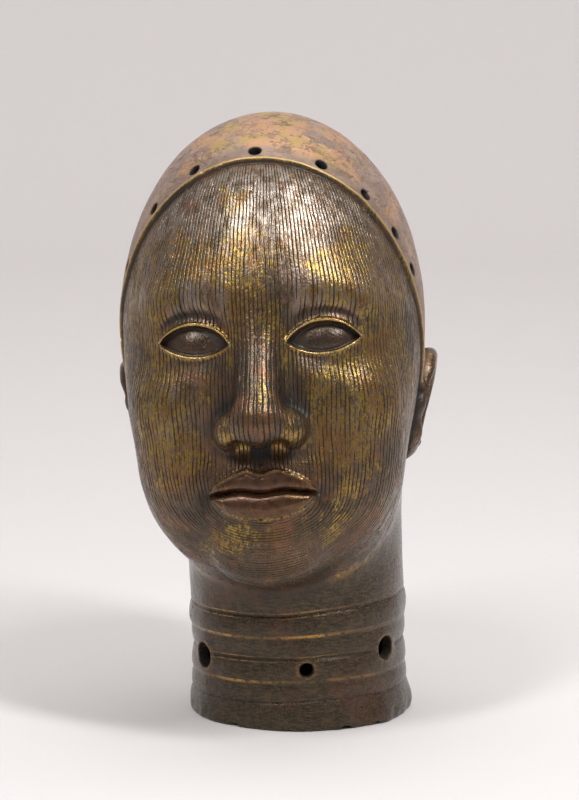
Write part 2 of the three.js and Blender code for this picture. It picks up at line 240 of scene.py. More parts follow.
def mouth_relief(x, z):
    """How far the lips and the groove over them stand out from the face."""
    rise = z - MOUTH_Z
    reach, top, parting, foot = lips(x)
    ends = 1 - smooth(reach, MOUTH_HALF_WIDTH - 5, MOUTH_HALF_WIDTH + 1)
    above = np.clip((rise - parting) / np.maximum(top - parting, 0.5), 0, 1)
    below = np.clip((parting - rise) / np.maximum(parting - foot, 0.5), 0, 1)
    upper = 2.8 * (1 - 0.95 * (1 - above) ** 2.2) * (1 - 0.55 * above * above)
    swell = np.sqrt(np.clip(1 - np.square(1 - np.minimum(below * 1.6, 1)), 0, 1))
    fall = 1 - 0.75 * np.square(np.maximum(below - 0.625, 0) / 0.375)
    lower = 4.2 * np.where(below < 0.625, swell, fall)
    out = np.where((rise >= parting) & (rise < top), upper, 0)
    out += np.where((rise < parting) & (rise > foot), lower, 0)
    out = out * ends
    out += 1.0 * bump(rise - top, 1.0) * (1 - smooth(reach, MOUTH_HALF_WIDTH - 4, MOUTH_HALF_WIDTH))
    out += 0.9 * bump(rise - foot, 1.0) * (1 - smooth(reach, MOUTH_HALF_WIDTH - 6, MOUTH_HALF_WIDTH - 1))
    out -= 1.5 * bump(rise - parting, 1.2) * (1 - smooth(reach, MOUTH_HALF_WIDTH - 3, MOUTH_HALF_WIDTH + 2))
    over = smooth(rise, 9.5, 12.5) * (1 - smooth(rise, 15, 20))
    out += over * (0.25 * bump(reach - 4.8, 2.2) - 0.7 * bump(x, 3.2))
    out -= 1.4 * np.exp(-np.square((reach - MOUTH_HALF_WIDTH - 1.5) / 4) - np.square((rise + 0.4) / 5))
    return out


def face_relief(x, y, z):
    """Lids, eyeballs and lips, on the front of the head alone."""
    on_front = 1 - smooth(y, FACE_FRONT_Y, FACE_SIDE_Y)
    return on_front * (eye_relief(x, z) + mouth_relief(x, z))


# The hair: a smooth cap whose hairline is a plane over the forehead and past the ears

HAIRLINE_TOP_Y, HAIRLINE_TOP_Z = -66, 98
HAIRLINE_EAR_Y, HAIRLINE_EAR_Z = -16, 8
NAPE_Z = -54
CAP_RAISE = 1.5
hairline_length = float(np.hypot(HAIRLINE_EAR_Y - HAIRLINE_TOP_Y, HAIRLINE_TOP_Z - HAIRLINE_EAR_Z))
ALONG_Y = (HAIRLINE_TOP_Y - HAIRLINE_EAR_Y) / hairline_length
ALONG_Z = (HAIRLINE_TOP_Z - HAIRLINE_EAR_Z) / hairline_length
INTO_Y, INTO_Z = ALONG_Z, -ALONG_Y


def into_hair(y, z):
    """How far a point lies behind the hairline."""
    face = (y - HAIRLINE_TOP_Y) * INTO_Y + (z - HAIRLINE_TOP_Z) * INTO_Z
    return join(face, z - NAPE_Z + 0.12 * y, 10)


def cap_relief(x, y, z, depth):
    """How far the cap of hair and its rim stand out, less its pits and cracks."""
    hair = smooth(depth, -0.35, 0.35)
    out = CAP_RAISE * hair + 0.3 * bump(depth - 0.9, 0.6) - 0.4 * bump(depth + 0.9, 0.55)
    blister = noise(x, y, z, 2.4)
    patch = smooth(noise(x + 40, y, z, 17), 0.0, 0.5)
    out -= 0.5 * hair * patch * smooth(blister, 0.5, 0.8)
    crack = np.abs(noise(x * 0.7, y * 1.6, z * 1.6 + 90, 11))
    top = smooth(z, 78, 96) * (1 - smooth(y, 0, 30))
    out -= 0.55 * hair * top * smooth(noise(x, y + 70, z, 13), -0.1, 0.4) * bump(crack, 0.05)
    return out


# The ear, in its own plane: a towards its back, b up, over the bone

EAR_Y, EAR_Z, EAR_HALF_WIDTH, EAR_HALF_HEIGHT, EAR_SLANT = 14, -27, 14.5, 24, radians(10)


def ear_plane(y, z):
    """Where a point lies on the ear's plane, and the ear's half width there."""
    dy, dz = y - EAR_Y, z - EAR_Z
    a = dy * cos(EAR_SLANT) - dz * sin(EAR_SLANT)
    b = dy * sin(EAR_SLANT) + dz * cos(EAR_SLANT)
    width = EAR_HALF_WIDTH * (1 - 0.25 * smooth(-b, 2, 26))
    return a, b, width


def egg(a, b, c, along_a, along_b, along_c):
    """Below zero within the given reach of the middle, and 1 at twice that."""
    return np.sqrt(np.square(a / along_a) + np.square(b / along_b) + np.square(c / along_c)) - 1


def ear(y, z, bone):
    """The ear: plate, rim, inner fold, bowl, the flap before it and the lobe."""
    a, b, width = ear_plane(y, z)
    round_out = np.sqrt(np.square(a / width) + np.square(b / EAR_HALF_HEIGHT)) + 1e-6
    edge = (round_out - 1) * (width + EAR_HALF_HEIGHT) / 2
    top = 3.2 + 0.16 * (a + EAR_HALF_WIDTH)
    plate = cut(edge, bone - top + 3.0, 2.5)
    gap = smooth(-a, 7, 13) * smooth(-b, -16, -2)
    helix = np.sqrt(np.square(edge + 0.8) + np.square(bone - top)) - 2.7 * (1 - gap)
    d = join(plate, helix, 2.5)
    fold = (np.sqrt(np.square((a + 1) / 8.5) + np.square((b - 1) / 15.5)) - 1) * 12
    antihelix = np.sqrt(np.square(fold) + np.square(bone - top + 2.4)) - 2.2 * smooth(a, -6, 1)
    d = join(d, antihelix, 2.4)
    bowl = egg(a + 4.5, b + 3, bone - top - 1, 7, 10, 7.5)
    d = cut(d, -7 * bowl, 2.4)
    tragus = egg(a + 12.5, b + 4, bone - 2, 4, 6.5, 3.6)
    d = join(d, 4 * tragus, 4)
    lobe = egg(a + 5, b + 21, bone - 2, 7.5, 7.5, 3.6)
    return join(d, 5 * lobe, 5)


# The neck: folds that swell between their creases, over a turned-out and battered foot

NECK_WIDTH, NECK_DEPTH, NECK_TOP = 108, 108, 120
FOLD_HEIGHTS = (57.5, 46.5, 35.5, 24, 14)
FOLD_DEPTH = 0.8
FOOT_FLARE = 2
FOOT_SHIFT = 4


def neck_level(x, y, z):
    """Height on the neck, measured along its wavy folds."""
    wave = 0.7 * noise(x, y, z * 0.25, 31)
    return z - 0.035 * x - 0.05 * np.maximum(x, 0) * smooth(z, 42, 58) + wave


def fold_strength(x, y, z):
    """How well a fold's edge shows, from 0 to 1."""
    upper = bump(x + 33, 15) + 0.8 * bump(x - 13, 14)
    lower = bump(x + 25, 18) + 0.35 * bump(x - 34, 12)
    high = smooth(z, 30, 40)
    shown = high * upper + (1 - high) * lower
    ragged = 0.5 + 0.5 * smooth(noise(x, y, z * 0.3 + 7, 9), -0.4, 0.3)
    return np.clip(0.12 + 0.9 * shown * smooth(-y, -10, 10), 0, 1) * ragged


def off_neck_holes(x, y, z):
    """0 round the neck's holes, where the folds fade out, and 1 away from them."""
    turn = np.arctan2(x, SPINE_Y - y)
    calm = 1 + 0 * x
    for azimuth, height, radius in NECK_HOLES:
        away = np.hypot((turn - radians(azimuth)) * NECK_WIDTH / 2, z - height)
        calm = np.minimum(calm, smooth(away, radius + 0.5, radius + 7))
    return calm


RIDGES, LAST_CREASE = (1, 3), 4  # places in FOLD_HEIGHTS; the rest are plain creases


def neck_swell(x, y, z):
    """How far folds, foot and dents stand out from the plain neck."""
    level = neck_level(x, y, z)
    swell = FOOT_FLARE * bump(z - 5, 8.5) - 0.8 * bump(z - 30, 24)
    for high, low in zip(FOLD_HEIGHTS[:-1], FOLD_HEIGHTS[1:]):
        u = np.clip((level - low) / (high - low), 0, 1)
        swell += FOLD_DEPTH * 4 * u * (1 - u)
    strength = fold_strength(x, y, z)
    for i, crease in enumerate(FOLD_HEIGHTS):
        over = level - crease
        if i in RIDGES:
            lip = smooth(over, -1.4, 0.4) * bump(np.maximum(over - 0.4, 0), 5.5)
            swell += (0.5 + 0.8 * strength) * lip
        elif i == LAST_CREASE:
            swell -= 0.25 * bump(over, 0.7)
        else:
            swell -= 0.3 * bump(over, 0.8)
    swell = 0.6 + (swell - 0.6) * off_neck_holes(x, y, z)
    swell += 0.45 * noise(x, y, z, 13) * smooth(-z, -75, -60)
    foot = bump(z - 2, 9)
    swell += foot * (0.9 * noise(x, y, z, 15) + 0.6 * noise(x, y, z, 6))
    dent = np.square((x - 38) / 5.5) + np.square((z - 9) / 9)
    swell -= 1.5 * np.exp(-dent) * smooth(-y, 0, 20)
    return swell


def plain_neck(x, y, z, swell):
    """The slanting neck, swollen as asked."""
    rx, ry = NECK_WIDTH / 2 + swell, NECK_DEPTH / 2 + swell
    aside = x - FOOT_SHIFT * (1 - z / NECK_TOP)
    d = (np.sqrt(np.square(aside / rx) + np.square((y - SPINE_Y) / ry)) - 1) * (rx + ry) / 2
    return cut(d, z - NECK_TOP, 8)


# The strokes on the face: upright above the mouth, and curved under the mouth and chin

STROKE_PITCH = radians(1.67)
STROKE_AXIS_Y = -18
STROKE_DEPTH = 0.4
GROOVE_POWER = 5


def stroke_count(x, y, z):
    """How many strokes a point lies from the middle of the face."""
    away = y - STROKE_AXIS_Y
    turn = np.abs(np.arctan2(x, -away))
    dip = np.arctan2(np.maximum(MOUTH_Z - z, 0), np.sqrt(x * x + away * away))
    around = np.arccos(np.clip(np.cos(turn) * np.cos(1.6 * dip), -1, 1))
    wobble = 0.3 * noise(x, y, z * 0.5, 15) + 0.2 * noise(x, y, z * 0.5 + 30, 4.2)
    return around / STROKE_PITCH + wobble


def stroke_zone(x, y, z, depth, jaw):
    """1 where the face carries strokes, from the hairline to the jaw's end at the neck."""
    zone = smooth(-depth, 0.9, 1.6) * smooth(jaw, 1.5, 4.5) * (1 - smooth(y, 3, 7))
    a, b, width = ear_plane(y, z)
    by_ear = np.square(a / (width + 3)) + np.square(b / (EAR_HALF_HEIGHT + 3))
    zone = zone * smooth(by_ear, 0.9, 1.1)
    front = 1 - smooth(y, -55, -40)
    across, rise, upper, lower = lids(x, z)
    open_eye = np.minimum(upper - rise + 2.4, rise - lower + 1.8)
    zone = zone * (1 - front * smooth(open_eye, -0.4, 0.6) * (1 - smooth(np.abs(across), 16, 19)))
    reach, top, _, foot = lips(x)
    on_lips = np.minimum(top - (z - MOUTH_Z) + 1.6, (z - MOUTH_Z) - foot + 1.4)
    zone = zone * (1 - front * smooth(on_lips, -0.5, 0.6) * (1 - smooth(reach, 26, 29)))
    return zone


def groove(count):
    """A stroke's section: 1 in its bottom, 0 on the flat between two strokes."""
    return np.power(np.maximum(0.5 - 0.5 * np.cos(2 * pi * count), 0), GROOVE_POWER)


def stroke_force(count, y, z):
    """How hard each stroke was drawn along its length, from 0.1 to 1."""
    slow = noise(count, z * 0.11, y * 0.05, 1.0)
    quick = noise(count + 40, z * 0.4, y * 0.2, 1.0)
    return np.clip(0.62 + 0.6 * slow + 0.35 * quick, 0.1, 1.0)


# Round holes through the wall: eight behind the hairline and three in the neck

HAIR_HOLE_ANGLES = (-88, -59, -31.5, -1, 31, 56, 78, 95)
HAIR_HOLE_RADIUS = 2.9
HAIR_HOLE_INSET = 6
HAIR_HOLE_CENTRE = 0.35  # share of the way up the hairline at which the holes' axes meet
NECK_HOLES = ((-53.5, 32.5, 6.2), (12, 31, 3.5), (59.5, 37.5, 5.7))  # azimuth, height, radius
NECK_HOLES_BELOW = 60
HOLE_START = 10  # how far under the outside a hole starts
HOLE_MARGIN = 14  # height over and under a hole past which it is left out
RAY = np.linspace(10, 180, 1200).astype(np.float32)  # the distances tried along an axis


def head_parts(x, y, z):
    """Coordinates in the head's own frame, and the head without and with flesh."""
    hx, hy, hz = to_head(x, y, z)
    bone = skull(hx, hy, hz)
    return hx, hy, hz, bone, flesh(hx, hy, hz, bone)


def plain(x, y, z):
    """The outside in its main forms."""
    hx, hy, hz, bone, d = head_parts(x, y, z)
    d = join(features(hx, hy, hz, d), ear(hy, hz, bone), EAR_BLEND)
    return join(d, plain_neck(x, y, z, 0 * x), JAW_BLEND)


def outermost(origin, way):
    """The last point along a ray that is inside the plain outside."""
    values = plain(*(origin[i] + way[i] * RAY for i in range(3)))
    return float(RAY[np.nonzero(values < 0)[0][-1]])


def hole_axes():
    """Each hole's start, direction, radius and where it comes out."""
    axes = []
    up_hairline = HAIR_HOLE_CENTRE * hairline_length
    centre_y = HAIRLINE_EAR_Y + up_hairline * ALONG_Y + HAIR_HOLE_INSET * INTO_Y
    centre_z = HAIRLINE_EAR_Z + up_hairline * ALONG_Z + HAIR_HOLE_INSET * INTO_Z
    centre = from_head(0, centre_y, centre_z)
    for angle in HAIR_HOLE_ANGLES:
        turn = radians(angle)
        tip = from_head(sin(turn), centre_y + ALONG_Y * cos(turn), centre_z + ALONG_Z * cos(turn))
        axes.append((centre, tip - centre, HAIR_HOLE_RADIUS))
    for azimuth, height, radius in NECK_HOLES:
        way = np.array([sin(radians(azimuth)), -cos(radians(azimuth)), 0])
        axes.append((np.array([0, SPINE_Y, height]), way, radius))
    return [(origin, way, radius, outermost(origin, way)) for origin, way, radius in axes]


HOLES = hole_axes()


def with_holes(x, y, z, d):
    """The field less the holes, with slightly ragged rims."""
    low, high = float(z.min()), float(z.max())
    for origin, way, radius, reach in HOLES:
        middle = origin[2] + way[2] * reach
        if high < middle - radius - HOLE_MARGIN or low > middle + radius + HOLE_MARGIN:
            continue
        px, py, pz = x - origin[0], y - origin[1], z - origin[2]
        along = px * way[0] + py * way[1] + pz * way[2]
        away = np.sqrt(np.maximum(px * px + py * py + pz * pz - along * along, 0))
        rough = radius + 0.35 * noise(x, y, z, 5)
        hole = np.maximum(away - rough, reach - HOLE_START - along)
        d = cut(d, -hole, 1.0)
    return d


def outline(x, y, z):
    """The plain outside with its lids, lips and holes, closed under the foot."""
    hx, hy, hz = to_head(x, y, z)
    d = plain(x, y, z) - face_relief(hx, hy, hz)
    return np.maximum(with_holes(x, y, z, d), -z)


FEATURES_FROM, FEATURES_TO = 95, 240  # heights between which eyes, nose, mouth and ears lie
NECK_TO = 150  # above this the neck has no effect
FACE_FROM = 55  # below this nothing of the face or hair is left
NO_JAW = 99  # stands for a neck that is far away
CASTING_LUMPS = ((8, 0.13), (24, 0.25))  # sizes and heights of the metal's unevenness
CORE_LUMPS = ((13, 0.4), (5, 0.35))
PIT_DEPTH, NICK_DEPTH = 0.3, 1.7
HOLLOW_FROM = -10  # under the foot, so that the hollow is open there


def outside(x, y, z, scored=True):
    """The whole outside with its relief and holes, closed under the foot.

    Parts that a piece of space can't reach are skipped there.
    """
    low, high = float(z.min()), float(z.max())
    hx, hy, hz, bone, d = head_parts(x, y, z)
    middle = high > FEATURES_FROM and low < FEATURES_TO
    if middle:
        d = join(features(hx, hy, hz, d), ear(hy, hz, bone), EAR_BLEND)
    jaw = NO_JAW
    if low < NECK_TO:
        neck = plain_neck(x, y, z, neck_swell(x, y, z))
        jaw = neck - d
        d = join(d, neck, JAW_BLEND)
    for size, height in CASTING_LUMPS:
        d = d - height * noise(x, y, z, size)
    if high > FACE_FROM:
        depth = into_hair(hy, hz)
        relief = cap_relief(hx, hy, hz, depth)
        if middle:
            relief = relief + face_relief(hx, hy, hz)
        d = d - relief
        if scored:
            count = stroke_count(hx, hy, hz)
            zone = stroke_zone(hx, hy, hz, depth, jaw) * stroke_force(count, hy, hz)
            d = d + STROKE_DEPTH * zone * groove(count)
    pit = noise(x, y + 20, z, 2.6)
    d = d + PIT_DEPTH * smooth(pit, 0.6, 0.85) * smooth(noise(x, y, z + 50, 12), 0.0, 0.5)
    d = with_holes(x, y, z, d)
    outer = smooth(np.hypot(x - FOOT_SHIFT, y - SPINE_Y), 50, 54)
    nick = NICK_DEPTH * smooth(noise(x, y, 0 * z, 4.5), 0.28, 0.62) * outer
    return cut(d, nick - z, 0.9)


def inside(x, y, z):
    """The hollow: a wall's thickness under the flesh, rough as a clay core leaves it."""
    hx, hy, hz, _, fleshed = head_parts(x, y, z)
    socketed = np.maximum(fleshed, features(hx, hy, hz, fleshed))
    d = join(socketed, plain_neck(x, y, z, 0 * x), JAW_BLEND) + WALL
    for size, height in CORE_LUMPS:
        d = d - height * noise(x, y, z, size)
    return cut(d, HOLLOW_FROM - z, 1)


# Surfaces from fields

LOW = np.array([-92, -112, -14], np.float32)
HIGH = np.array([82, 118, 306], np.float32)
CHUNK = 40000
THREADS = 4
CUBE_REACH = 0.87  # from a cube's middle to its corner, in sides
STEEPEST = 1.3  # how fast a field may change
HALVINGS = 3
CORNERS = np.array([(i, j, k) for k in (0, 1) for j in (0, 1) for i in (0, 1)])


def evaluate(field, points):
    """The field at each point, worked out in pieces on every core."""
    points = np.ascontiguousarray(points.T, np.float32)
    starts = range(0, points.shape[1], CHUNK)
    with ThreadPoolExecutor(THREADS) as pool:
        parts = pool.map(lambda i: field(*points[:, i:i + CHUNK]), starts)
        return np.concatenate(list(parts))


def slopes(field, points, pace=0.08):
    """Gradient of the field at each point."""
    out = np.empty_like(points)
    for axis in range(3):
        shift = np.zeros(3, np.float32)
        shift[axis] = pace
        out[:, axis] = (evaluate(field, points + shift) - evaluate(field, points - shift)) / (2 * pace)
    return out


def near_cells(guide, cell, slack):
    """Cells near the guide's zero level, found by halving larger ones, and how many fit each way."""
    size = cell * 2 ** HALVINGS
    counts = np.ceil((HIGH - LOW) / size).astype(int)
    z, y, x = np.meshgrid(*(np.arange(counts[i]) for i in (2, 1, 0)), indexing="ij")
    cells = np.stack([x.ravel(), y.ravel(), z.ravel()], 1)
    for _ in range(HALVINGS):
        values = evaluate(guide, LOW + (cells + 0.5) * size)
        cells = cells[np.abs(values) < size * CUBE_REACH * STEEPEST + slack]
        cells = (cells[:, None] * 2 + CORNERS).reshape(-1, 3)
        size /= 2
        counts = counts * 2
    return cells, counts


def crossing_places(corner_values):
    """In each cell, the mean of the places where its edges cross the zero level."""
    total = np.zeros((len(corner_values), 3))
    crossings = np.zeros(len(corner_values))
    for corner in range(8):
        for axis in range(3):
            if CORNERS[corner][axis]:
                continue
            here, there = corner_values[:, corner], corner_values[:, corner + 2 ** axis]
            crosses = (here > 0) != (there > 0)
            share = np.where(crosses, here / np.where(crosses, here - there, 1), 0)
            place = np.tile(CORNERS[corner].astype(float), (len(corner_values), 1))
            place[:, axis] += share
            total += place * crosses[:, None]
            crossings += crosses
    return total / crossings[:, None]


def crossed_quads(keys, corner_values, strides):
    """A quad round each edge that crosses the zero level, between the points of its four cells."""
    quads = []
    for axis in range(3):
        here, there = corner_values[:, 0] > 0, corner_values[:, 2 ** axis] > 0
        first, second = strides[(axis + 1) % 3], strides[(axis + 2) % 3]
        for outward in (True, False):
            start = keys[(here != outward) & (there == outward)]
            ring = [start - first - second, start - second, start, start - first]
            if not outward:
                ring.reverse()
            found = [np.minimum(np.searchsorted(keys, key), len(keys) - 1) for key in ring]
            whole = np.all([keys[number] == key for number, key in zip(found, ring)], axis=0)
            quads.append(np.stack(found, 1)[whole])
    return np.concatenate(quads)


def net(field, guide, cell, slack):
    """Points and quads over a field's zero level; the guide is a simpler field within the slack of it."""
    cells, counts = near_cells(guide, cell, slack)
    row = int(counts[0]) + 1
    layer = row * (int(counts[1]) + 1)
    strides = np.array([1, row, layer], np.int64)
    steps = CORNERS @ strides

    def places(keys):
        return np.stack([keys % row, keys % layer // row, keys // layer], 1)

    keys = np.sort(cells @ strides)
    needed = np.zeros(int((counts + 1).prod()), bool)
    for step in steps:
        needed[keys + step] = True
    lattice = np.flatnonzero(needed)
    values = evaluate(field, LOW + places(lattice) * cell)
    positive = np.zeros(needed.size, bool)
    positive[lattice] = values > 0
    total = sum(positive[keys + step].astype(np.int8) for step in steps)
    keys = keys[(total > 0) & (total < 8)]
    corner_values = np.stack([values[np.searchsorted(lattice, keys + step)] for step in steps], 1)
    points = LOW + (places(keys) + crossing_places(corner_values)) * cell
    return points.astype(np.float32), crossed_quads(keys, corner_values, strides)


def make_object(name, points, faces):
    """A mesh object from points and faces."""
    mesh = bpy.data.meshes.new(name)
    mesh.vertices.add(len(points))
    mesh.vertices.foreach_set("co", points.astype(np.float32).ravel())
    mesh.loops.add(faces.size)
    mesh.loops.foreach_set("vertex_index", faces.astype(np.int32).ravel())
    mesh.polygons.add(len(faces))
    mesh.polygons.foreach_set("loop_start", np.arange(0, faces.size, faces.shape[1], dtype=np.int32))
    mesh.update(calc_edges=True)
    mesh.validate()
    made = bpy.data.objects.new(name, mesh)
    bpy.context.scene.collection.objects.link(made)
    return made


def applied(made):
    """Replace an object's mesh by what its modifiers make of it."""
    graph = bpy.context.evaluated_depsgraph_get()
    graph.update()
    mesh = bpy.data.meshes.new_from_object(made.evaluated_get(graph))
    made.modifiers.clear()
    old = made.data
    made.data = mesh
    bpy.data.meshes.remove(old)


def thinned(made, triangles):
    """Reduce a mesh to about that many triangles."""
    faces = len(made.data.polygons)
    modifier = made.modifiers.new("thin", "DECIMATE")
    modifier.ratio = min(1, triangles / (2 * faces))
    applied(made)


def read(items, name, kind, width=1):
    """One property of all of a mesh's items, as an array."""
    values = np.empty(len(items) * width, kind)
    items.foreach_get(name, values)
    return values


def vertex_points(mesh):
    return read(mesh.vertices, "co", np.float32, 3).reshape(-1, 3)


LEAST_STEEPNESS = 0.3
LONGEST_MOVE = 0.3


def settled(made, field):
    """Move each point onto the field's zero level."""
    points = vertex_points(made.data)
    values = evaluate(field, points)
    slope = slopes(field, points)
    steepness = np.maximum(np.square(slope).sum(1), LEAST_STEEPNESS)
    move = np.clip(values / steepness, -LONGEST_MOVE, LONGEST_MOVE)[:, None] * slope
    made.data.vertices.foreach_set("co", (points - move).astype(np.float32).ravel())
    made.data.update()


RELIEF_REACH = 2.8  # about how far relief moves the surface from its outline
head = make_object("patinated_head", *net(outside, outline, CELL, RELIEF_REACH))
thinned(head, OUTSIDE_TRIANGLES)
settled(head, outside)
core = make_object("core", *net(inside, inside, CORE_CELL, 0))
thinned(core, CORE_TRIANGLES)
difference = head.modifiers.new("hollow", "BOOLEAN")
difference.operation = "DIFFERENCE"
difference.solver = "EXACT"
difference.object = core
applied(head)
bpy.data.objects.remove(core)


# What the material needs to know at each point

points = vertex_points(head.data)
x, y, z = (np.ascontiguousarray(points[:, i]) for i in range(3))
wall_depth = evaluate(inside, points)
AT_CORE, UNDER_OUTSIDE = 0.4, -2.5
within = (wall_depth < AT_CORE) & (evaluate(plain, points) < UNDER_OUTSIDE)


def unit(vectors):
    """The same directions, each of length 1."""
    return vectors / (np.linalg.norm(vectors, axis=1, keepdims=True) + 1e-9)


outside_slope = unit(slopes(lambda *at: outside(*at, scored=False), points, pace=0.15))
inside_slope = -unit(slopes(inside, points, pace=0.4))
plain_slope = unit(slopes(plain, points, pace=0.5))

hx, hy, hz, bone, fleshed = head_parts(x, y, z)
hair_depth = into_hair(hy, hz)
neck_field = plain_neck(x, y, z, 0 * x)
jaw = neck_field - fleshed
count = stroke_count(hx, hy, hz)
across, rise, upper_lid, lower_lid = lids(hx, hz)
reach, lip_top, _, lip_foot = lips(hx)
mouth_rise = hz - MOUTH_Z
level = neck_level(x, y, z)
on_neck = smooth(-jaw, -1, 4) * (1 - smooth(hair_depth, -1, 1))

a, b, ear_width = ear_plane(hy, hz)
by_ear = np.square(a / (ear_width + 2.5)) + np.square(b / (EAR_HALF_HEIGHT + 2.5))
round_ear = np.square(a / (ear_width + 7)) + np.square(b / (EAR_HALF_HEIGHT + 7))
proud = smooth(bone, 2.0, 2.8) * (1 - smooth(round_ear, 0.9, 1.1))
on_ear = np.maximum(1 - smooth(by_ear, 0.9, 1.1), proud) * smooth(np.abs(hx), 45, 55)
crown = bump(hx - 4, 40) * smooth(hair_depth, 5, 12) * (1 - smooth(hy, 25, 70))
on_lips = np.minimum(lip_top - mouth_rise, mouth_rise - lip_foot)
in_eye = np.minimum(upper_lid - rise, rise - lower_lid)
on_face = (hy < -50) & ~within

SAMPLE = 5  # how far out and in the plain form is felt for hollows and ridges
cavity = SAMPLE - evaluate(plain, points + SAMPLE * plain_slope)
prominence = SAMPLE + evaluate(plain, points - SAMPLE * plain_slope)

# Where the holes' walls are, for the painted shade down the holes, and round the neck holes' rims, for
# their gold
in_hole = 0 * x
hole_edge = 0 * x
for origin, way, radius, _ in HOLES:
    offset = points - origin.astype(np.float32)
    along = offset @ way.astype(np.float32)
    away = np.sqrt(np.maximum(np.square(offset).sum(1) - along * along, 0))
    in_hole = np.maximum(in_hole, (1 - smooth(away, radius + 0.1, radius + 0.9)) * (along > 0))
    if origin[2] < NECK_HOLES_BELOW:
        hole_edge = np.maximum(hole_edge, bump(away - radius - 1.0, 0.7) * (along > 0))

brow = bump(hz - 38, 22) * bump(hx, 46)
cheek = bump(np.abs(hx) - 44, 17) * bump(hz + 34, 26)
# Pale polished patches on the upper forehead, brows and cheeks: partly polish, partly a painted sheen where
# the highlights fall
upper = bump(hz - 68, 30) * bump(hx - 8, 62) * (1 - smooth(hair_depth, -6, -2))
polish_and_sheen = 0.9 * upper + 0.5 * bump(hz - 24, 9) * smooth(np.abs(hx), 8, 20) + 0.35 * cheek
worn = 0.33 + 0.5 * brow + 0.6 * cheek + 0.7 * smooth(prominence, 0.1, 1.6)
worn -= 0.8 * smooth(cavity, 0.3, 2.5) + 0.35 * bump(np.abs(hx) - 33, 16) * bump(hz - 4, 13)
worn += 0.4 * bump(np.abs(hx) - 58, 18) * bump(hz - 20, 60)
worn -= 0.3 * bump(hx, 34) * bump(mouth_rise, 24) + 0.9 * on_ear

DEEPEST, NO_LINE = 30, 9


def outside_only(values):
    return np.where(within, 0, values)


def line_mark(shown, height):
    """The height over a line, held to NO_LINE and set to it where the line isn't shown."""
    return np.where(on_face & shown, np.clip(height, -NO_LINE, NO_LINE), NO_LINE)


marks = {
    "stroke": count,
    "lines": outside_only(stroke_zone(hx, hy, hz, hair_depth, jaw) * stroke_force(count, hy, hz)),
    "depth": np.where(within, -DEEPEST, np.clip(hair_depth, -DEEPEST, DEEPEST)),
    "ear": on_ear,
    "upper_lid": line_mark(np.abs(across) < 18.5, rise - upper_lid),
    "lower_lid": line_mark(np.abs(across) < 17, rise - lower_lid),
    "upper_lip": line_mark(reach < 24, mouth_rise - lip_top),
    "lower_lip": line_mark(reach < 20, mouth_rise - lip_foot),
    "lip": on_face * smooth(on_lips, -0.6, 1.2) * (1 - smooth(reach, 25, 28)),
    "crown": crown,
    "eye": on_face * smooth(in_eye, 0, 1.5) * (1 - smooth(np.abs(across), 15, 18)),
    "level": np.clip(level, -10, 90),
    "folds": fold_strength(x, y, z),
    "neck": outside_only(on_neck),
    "worn": outside_only(np.clip(worn, 0, 1)),
    # painted shade: darker in hollows and down the holes' walls, and 1 all over the hollow's inside
    "hollow_shade": np.where(within, 1, np.maximum(smooth(cavity, 0.4, 3.0), in_hole)),
    "bare": within,
    # pale polish that is also a painted sheen where the highlights fall
    "polish_and_sheen": outside_only(np.clip(polish_and_sheen, 0, 1)),
    "hole_edge": outside_only(hole_edge),
}
for name, values in marks.items():
    attribute = head.data.attributes.new(name, "FLOAT", "POINT")
    attribute.data.foreach_set("value", np.asarray(values, np.float32))


# Shading follows the smooth fields, not the strokes' small facets, except at sharp edges and the foot

SAME_SIDE, FACING_DOWN = 0.35, -0.98
ON_CORE, FOOT_TOP = 0.5, 0.05
corner_vertex = read(head.data.loops, "vertex_index", np.int32)
face_size = read(head.data.polygons, "loop_total", np.int32)
face_start = read(head.data.polygons, "loop_start", np.int32)
face_normal = read(head.data.polygons, "normal", np.float32, 3)
corner_normal = np.repeat(face_normal.reshape(-1, 3), face_size, axis=0)
core_face = np.minimum.reduceat((wall_depth < ON_CORE)[corner_vertex].astype(np.int8), face_start)
on_core = np.repeat(core_face.astype(bool), face_size)
flat_foot = (corner_normal[:, 2] < FACING_DOWN) & (z[corner_vertex] < FOOT_TOP)
chosen = np.where(on_core[:, None], inside_slope[corner_vertex], outside_slope[corner_vertex])
agrees = (chosen * corner_normal).sum(1) > SAME_SIDE
chosen = np.where((agrees & ~flat_foot)[:, None], chosen, corner_normal)


# Onto the frame: metres, with the foot's middle over that of the cast solid

ON_GROUND = 1e-5
cast_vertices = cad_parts["cast_head"].data.vertices
rim = np.array([vertex.co[:2] for vertex in cast_vertices if vertex.co[2] < ON_GROUND])
shift = (rim.min(0) + rim.max(0)) / 2 - np.array([FOOT_SHIFT, SPINE_Y]) * MILLIMETRE
placed = points * MILLIMETRE
placed[:, 0] += shift[0]
placed[:, 1] += shift[1]
head.data.vertices.foreach_set("co", placed.astype(np.float32).ravel())
head.data.polygons.foreach_set("use_smooth", np.ones(len(head.data.polygons), bool))
head.data.update()
head.data.normals_split_custom_set(chosen.tolist())
